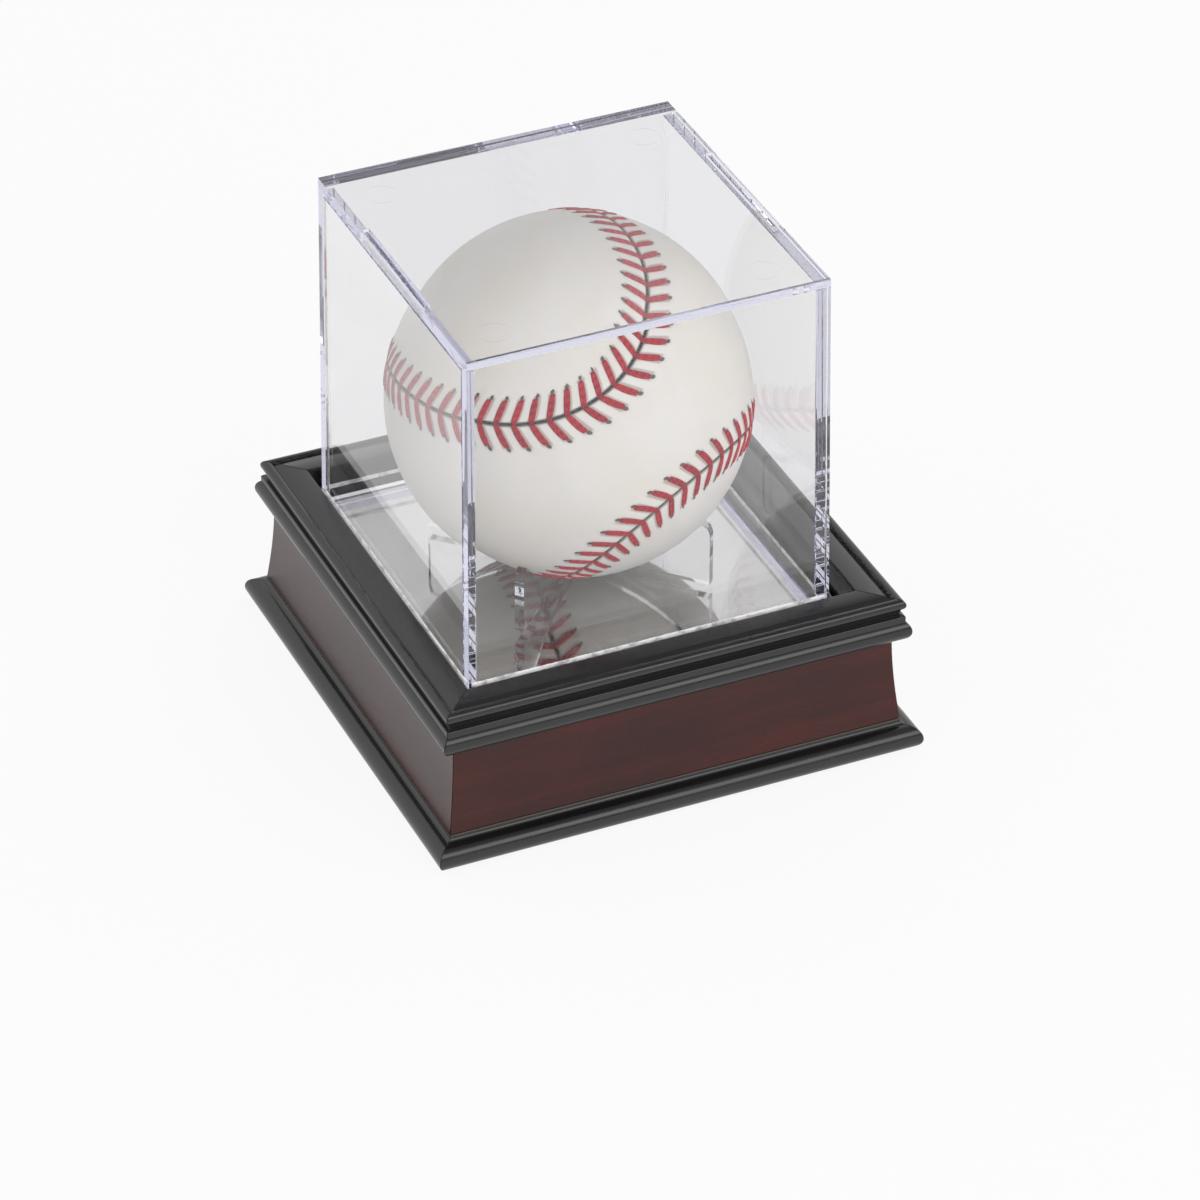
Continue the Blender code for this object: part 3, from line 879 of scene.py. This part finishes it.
class Seam:
    """The seam as a fine ring of points, evenly spaced along it."""

    COUNT = 4320

    def __init__(self):
        angles = np.linspace(0, math.tau, 8 * self.COUNT + 1)
        run = seam_points(angles)
        travelled = np.concatenate([[0], np.cumsum(np.linalg.norm(np.diff(run, axis=0), axis=1))])
        even = np.arange(self.COUNT) / self.COUNT * travelled[-1]
        self.points = unit(seam_points(np.interp(even, travelled, angles)))
        ahead = np.roll(self.points, -1, axis=0) - np.roll(self.points, 1, axis=0)
        self.along = unit(ahead)
        self.across = unit(np.cross(self.points, self.along))
        self.tree = KDTree(self.COUNT)
        for i, point in enumerate(self.points):
            self.tree.insert(point, i)
        self.tree.balance()

    def nearest(self, directions):
        """For each direction, the nearest step along the seam and the distance from it."""
        found = [self.tree.find(Vector(d))[1] for d in directions]
        steps = np.array(found, float)
        whole = steps.astype(int)
        offset = directions - self.points[whole]
        steps += np.sum(offset * self.along[whole], axis=1) * self.COUNT / self.turn_length()
        away = np.arccos(np.clip(np.sum(directions * self.points[whole], axis=1), -1, 1))
        return steps, away * LEATHER_RADIUS

    def turn_length(self):
        return float(np.linalg.norm(self.points - np.roll(self.points, 1, axis=0), axis=1).sum())

    def at(self, share, away, side):
        """The direction at a share of the seam's length and a distance from it."""
        step = (share * self.COUNT) % self.COUNT
        low = int(step)
        high = (low + 1) % self.COUNT
        mix = step - low
        point = self.points[low] * (1 - mix) + self.points[high] * mix
        across = self.across[low] * (1 - mix) + self.across[high] * mix
        turn = away / LEATHER_RADIUS
        return unit(unit(point) * math.cos(turn) + unit(across) * side * math.sin(turn))


ROWS, COLUMNS = 430, 46
# What the grid leaves free where the two halves of the seam meet, as a part of a row
ROW_START = 0.3
SEAM_GAP = 0.22 * MM
LEATHER_THICKNESS = 1.2 * MM


def cover_grid(start):
    """Directions of a grid between the two halves of the seam, close-set near the edges."""
    swing = math.pi * (np.arange(ROWS + 1) + ROW_START) / (ROWS + 2 * ROW_START)
    edges = []
    for sign in (1, -1):
        angles = start + sign * swing
        point = unit(seam_points(angles))
        along = unit(seam_points(angles + 0.001) - seam_points(angles - 0.001))
        across = np.cross(point, along)
        towards = unit(seam_points(start - sign * swing)) - point
        middle = len(swing) // 2
        facing = math.copysign(1, float(across[middle] @ towards[middle]))
        edges.append(unit(point + across * facing * SEAM_GAP / LEATHER_RADIUS))
    first, last = edges
    share = (1 - np.cos(np.pi * np.arange(COLUMNS + 1) / COLUMNS)) / 2
    angle = np.arccos(np.clip(np.sum(first * last, axis=1), -1, 1))[:, None, None]
    share = share[None, :, None]
    bend = np.sin((1 - share) * angle) * first[:, None] + np.sin(share * angle) * last[:, None]
    return unit(bend).reshape(-1, 3)


def leather_relief(away, phase):
    """How far the leather stands from the ball, by the distance from the seam in millimetres
    and the place between two holes, from -0.5 to 0.5."""
    roll = -0.62 * np.exp(-((away / 0.34) ** 2))
    ridge = 0.10 * np.exp(-(((away - 1.5) / 1.0) ** 2))
    window = np.clip(away / 1.0, 0, 1) * np.clip((6.0 - away) / 1.6, 0, 1)
    pull = -0.11 * window * np.cos(math.tau * phase) * 0.5
    dimple = -0.20 * np.exp(-((phase * 4.1 / 0.75) ** 2) - ((away - 5.1) / 0.8) ** 2)
    return (roll + ridge + pull + dimple) * MM


def leather_mesh(name, seam, start):
    ball = bpy.context.scene.case_ball
    directions = cover_grid(start)
    steps, away = seam.nearest(directions)
    millimetres = away / MM
    lean = lean_at(away) / seam_length()
    stitch = (steps / seam.COUNT - lean) * ball.stitches
    phase = stitch - np.round(stitch)
    relief = leather_relief(millimetres, phase)
    points = directions * (LEATHER_RADIUS + relief)[:, None]
    faces = []
    width = COLUMNS + 1
    for i in range(ROWS):
        for j in range(COLUMNS):
            a = i * width + j
            faces.append((a, a + 1, a + width + 1, a + width))
    mesh = mesh_from(name, points.tolist(), faces)
    if mesh.polygons[0].normal.dot(mesh.polygons[0].center) < 0:
        mesh.flip_normals()
    mesh.shade_smooth()
    place = mesh.attributes.new("SeamPlace", "FLOAT_VECTOR", "POINT")
    turn = math.tau * phase
    values = np.stack([np.sin(turn), np.cos(turn), millimetres], axis=1)
    place.data.foreach_set("vector", values.astype(np.float32).ravel())
    return mesh


def lean_at(away):
    """How far along the seam a stitch has moved at a distance from it."""
    ball = bpy.context.scene.case_ball
    share = np.clip(np.abs(away) / ball.stitch_reach, 0, 1.3)
    return ball.stitch_lean * share**0.85


class CASE_OT_leather(bpy.types.Operator):
    """Build the two leather covers of the ball, and finish its core"""

    bl_idname = "display_case.leather"
    bl_label = "Ball Leather"

    def execute(self, context):
        seam = Seam()
        material = white_leather()
        for letter, start in (("a", 0.75 * math.pi), ("b", 0.25 * math.pi)):
            mesh = leather_mesh(f"leather_{letter}", seam, start)
            mesh.transform(Matrix.Translation(BALL_CENTRE))
            name = f"ball_leather_{letter}"
            cover = f"ball_cover_{letter}"
            leather = add_piece(name, mesh, material, "ball", "white_leather", cover)
            shell = leather.modifiers.new("thickness", "SOLIDIFY")
            shell.thickness = LEATHER_THICKNESS
            shell.offset = -1
        coat_nodes(wound_yarn(), "ball_windings")
        return {"FINISHED"}


STRAND_SIDES = 8
STRAND_STEPS = 9
STRAND_FLATNESS = 0.62
STRAND_TAPER = 0.42
STRAND_BOW = 0.22 * MM
# How far the two strands of a stitch lie from its middle, as a share of their width
STRAND_APART = 0.47
LEAN_CHANGE = 0.12
# How high a strand lies, and how deep its ends are drawn in, in millimetres
STRAND_HEIGHT = 0.08
SEAM_TUCK, HOLE_TUCK = 0.26, 0.55
STITCH_CHANCE = 7


def strand_line(seam, number, side, sideways, lean_change):
    """Centre points of one strand of a stitch, from the seam to its needle hole."""
    ball = bpy.context.scene.case_ball
    length = seam_length()
    line = []
    for i in range(STRAND_STEPS + 1):
        share = i / STRAND_STEPS
        away = (1.10 * share - 0.05) * ball.stitch_reach
        narrowing = 1 - 0.5 * abs(2 * share - 1) ** 3
        lean = float(lean_at(away)) * (1 + lean_change) + sideways * narrowing
        bow = math.sin(math.pi * share) * STRAND_BOW
        place = (number / ball.stitches) + (lean - bow) / length
        direction = seam.at(place, away, side)
        at_seam = max(1 - share / 0.20, 0)
        at_hole = max(1 - (1 - share) / 0.12, 0)
        tuck = SEAM_TUCK * at_seam**2 + HOLE_TUCK * at_hole**2
        height = (STRAND_HEIGHT - tuck) * MM
        line.append(direction * (LEATHER_RADIUS + height))
    return line


def sweep(line, width, start):
    """Points and faces of a closed flattened tube along a line, numbered from start."""
    points = []
    places = []
    line = np.array(line)
    run = np.gradient(line, axis=0)
    travelled = np.concatenate([[0], np.cumsum(np.linalg.norm(np.diff(line, axis=0), axis=1))])
    for i, centre in enumerate(line):
        up = unit(centre)
        along = unit(run[i] - up * (run[i] @ up))
        beside = np.cross(along, up)
        taper = 1 - STRAND_TAPER * abs(2 * i / (len(line) - 1) - 1) ** 3
        reach = width / 2 * taper
        for k in range(STRAND_SIDES):
            turn = math.tau * k / STRAND_SIDES
            rise = up * reach * STRAND_FLATNESS * math.sin(turn)
            points.append(centre + beside * reach * math.cos(turn) + rise)
            places.append((travelled[i] / MM, k / STRAND_SIDES))
    faces = []
    last = len(line) - 1
    for i in range(last):
        for k in range(STRAND_SIDES):
            a = start + i * STRAND_SIDES + k
            b = start + i * STRAND_SIDES + (k + 1) % STRAND_SIDES
            faces.append((a, b, b + STRAND_SIDES, a + STRAND_SIDES))
    faces.append(tuple(start + k for k in reversed(range(STRAND_SIDES))))
    faces.append(tuple(start + last * STRAND_SIDES + k for k in range(STRAND_SIDES)))
    return points, places, faces


class CASE_OT_stitches(bpy.types.Operator):
    """Sew the covers together with pairs of double stitches"""

    bl_idname = "display_case.stitches"
    bl_label = "Ball Stitches"

    def execute(self, context):
        ball = context.scene.case_ball
        seam = Seam()
        chance = random.Random(STITCH_CHANCE)
        points, places, faces, shades = [], [], [], []
        for number in range(ball.stitches):
            for side in (-1, 1):
                change = chance.uniform(-LEAN_CHANGE, LEAN_CHANGE)
                shade = chance.random()
                for sideways in (-STRAND_APART, STRAND_APART):
                    shift = sideways * ball.thread_width
                    line = strand_line(seam, number, side, shift, change)
                    made = sweep(line, ball.thread_width, len(points))
                    points += made[0]
                    places += made[1]
                    faces += made[2]
                    shades += [shade] * len(made[0])
        points = [tuple(Vector(p) + BALL_CENTRE) for p in points]
        mesh = mesh_from("stitches", points, faces)
        mesh.shade_smooth()
        place = mesh.attributes.new("StrandPlace", "FLOAT_VECTOR", "POINT")
        values = np.array([(*p, s) for p, s in zip(places, shades)], np.float32)
        place.data.foreach_set("vector", values.ravel())
        material = red_thread()
        add_piece("ball_stitches", mesh, material, "ball", "red_thread", "ball_seam_thread")
        return {"FINISHED"}


# --- stage ----------------------------------------------------------------------------------

# The camera, across the floor from the ball and up from the floor. Its angles are in degrees
CAMERA_FROM_BALL = Vector((-0.3993, -0.9176, 0.0))
CAMERA_HEIGHT = 0.7036
CAMERA_PITCH = 34.34
CAMERA_YAW = 23.85
CAMERA_LENS = 174.0
SENSOR_WIDTH = 36

# Lamps: width and height, and place
KEY_SIZE, KEY_PLACE = (0.8, 0.7), (0.42, -1.13, 0.84)
LOW_SIZE, LOW_PLACE = (1.3, 0.26), (0.12, -1.3, 0.12)

FLOOR_COLOUR = (0.92, 0.92, 0.92)
FLOOR_WHITENESS = 0.90

# Light turns many times inside the clear walls
MOST_BOUNCES = 160
CLEAR_BOUNCES = 64
GLOSS_BOUNCES = 128


def pale_floor(size):
    """Matt floor, lit like the rest but nearly white where it is seen."""
    bpy.ops.mesh.primitive_plane_add(size=size)
    floor = bpy.context.object
    floor.name = "floor"
    look = principled("floor", Base_Color=FLOOR_COLOUR, Roughness=0.9, Specular_IOR_Level=0.1)
    rays = look.rays()
    seen = rays["Is Camera Ray"] + rays["Is Glossy Ray"] + rays["Is Transmission Ray"]
    matt = Value(look, look.tree.nodes["Principled BSDF"].outputs[0])
    white = look.node("ShaderNodeEmission", None, (WHITE, 1.0))
    shares = (seen.ramp(0, 1) * FLOOR_WHITENESS, matt, white)
    output = look.tree.nodes["Material Output"]
    look.set(output.inputs["Surface"], look.node("ShaderNodeMixShader", None, shares))
    floor.data.materials.append(look.owner)


def studio_sky(strength):
    """White at the back and sides, darker overhead and in front, and plain white where seen."""
    world = bpy.data.worlds.new("studio")
    bpy.context.scene.world = world
    look = Look(world)
    direction = look.node("ShaderNodeTexCoord", output=0)
    _, back, height = look.apart(direction)
    overhead = height.ramp(0.72, 0.92)
    front = back.ramp(-0.75, -0.15, 1.0, 0.0) * height.ramp(0.03, 0.20)
    dim = overhead + front - overhead * front
    sky = look.mix(dim, WHITE, (strength, strength, strength * 1.02))
    rays = look.rays()
    seen = (rays["Is Camera Ray"] + rays["Is Transmission Ray"]).ramp(0, 1)
    background = look.tree.nodes["Background"]
    look.set(background.inputs["Color"], look.mix(seen, sky, WHITE))


def soft_lamp(name, power, size, place, target, mirrored):
    """A soft box that isn't seen through clear plastic, nor in polished faces unless mirrored."""
    data = bpy.data.lights.new(name, "AREA")
    data.energy = power
    data.shape = "RECTANGLE"
    data.size, data.size_y = size
    lamp = bpy.data.objects.new(name, data)
    bpy.context.scene.collection.objects.link(lamp)
    lamp.location = place
    lamp.rotation_euler = (Vector(target) - Vector(place)).to_track_quat("-Z", "Y").to_euler()
    lamp.visible_transmission = False
    lamp.visible_glossy = mirrored


class CASE_OT_stage(bpy.types.Operator):
    """Set up the floor, the soft lamps and the camera"""

    bl_idname = "display_case.stage"
    bl_label = "Stage"

    def execute(self, context):
        scene = context.scene
        stage = scene.case_stage
        pale_floor(stage.floor_size)
        studio_sky(stage.sky)
        middle = (0, 0, BALL_CENTRE.z)
        soft_lamp("key_lamp", stage.key, KEY_SIZE, KEY_PLACE, middle, True)
        soft_lamp("low_lamp", stage.low, LOW_SIZE, LOW_PLACE, middle, False)
        camera = bpy.data.objects.new("camera", bpy.data.cameras.new("camera"))
        scene.collection.objects.link(camera)
        place = BALL_CENTRE + CAMERA_FROM_BALL
        camera.location = (place.x, place.y, CAMERA_HEIGHT)
        turn = (90 - CAMERA_PITCH, 0, -CAMERA_YAW)
        camera.rotation_euler = [math.radians(angle) for angle in turn]
        camera.data.lens = CAMERA_LENS
        camera.data.sensor_width = SENSOR_WIDTH
        scene.camera = camera
        scene.view_settings.view_transform = "Standard"
        scene.cycles.max_bounces = MOST_BOUNCES
        scene.cycles.transmission_bounces = CLEAR_BOUNCES
        scene.cycles.glossy_bounces = GLOSS_BOUNCES
        return {"FINISHED"}


# --- add-on ---------------------------------------------------------------------------------

OPERATORS = (
    CASE_OT_rails,
    CASE_OT_panels,
    CASE_OT_hidden_base,
    CASE_OT_clear_case,
    CASE_OT_foot_edges,
    CASE_OT_leather,
    CASE_OT_stitches,
    CASE_OT_stage,
)
SETTINGS = {
    "case_wood": WoodSettings,
    "case_clear": CaseSettings,
    "case_ball": BallSettings,
    "case_stage": StageSettings,
}


class CASE_PT_panel(bpy.types.Panel):
    """Settings and steps of the display case"""

    bl_idname = "CASE_PT_panel"
    bl_label = "Ball Display Case"
    bl_space_type = "VIEW_3D"
    bl_region_type = "UI"
    bl_category = "Display Case"

    def draw(self, context):
        for group in SETTINGS:
            box = self.layout.box()
            settings = getattr(context.scene, group)
            for name in settings.bl_rna.properties.keys():
                if name not in ("rna_type", "name"):
                    box.prop(settings, name)
        for operator in OPERATORS:
            self.layout.operator(operator.bl_idname)


def register():
    for group, settings in SETTINGS.items():
        bpy.utils.register_class(settings)
        setattr(bpy.types.Scene, group, bpy.props.PointerProperty(type=settings))
    for item in (*OPERATORS, CASE_PT_panel):
        bpy.utils.register_class(item)


def unregister():
    for item in reversed((*OPERATORS, CASE_PT_panel)):
        bpy.utils.unregister_class(item)
    for group, settings in reversed(SETTINGS.items()):
        delattr(bpy.types.Scene, group)
        bpy.utils.unregister_class(settings)


def write_sizes():
    """Brings the scene's positions up to date."""
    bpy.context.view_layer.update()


def main():
    register()
    for operator in OPERATORS:
        step = operator.bl_idname.split(".")[1]
        getattr(bpy.ops.display_case, step)()
    write_sizes()


if __name__ == "__main__":
    main()
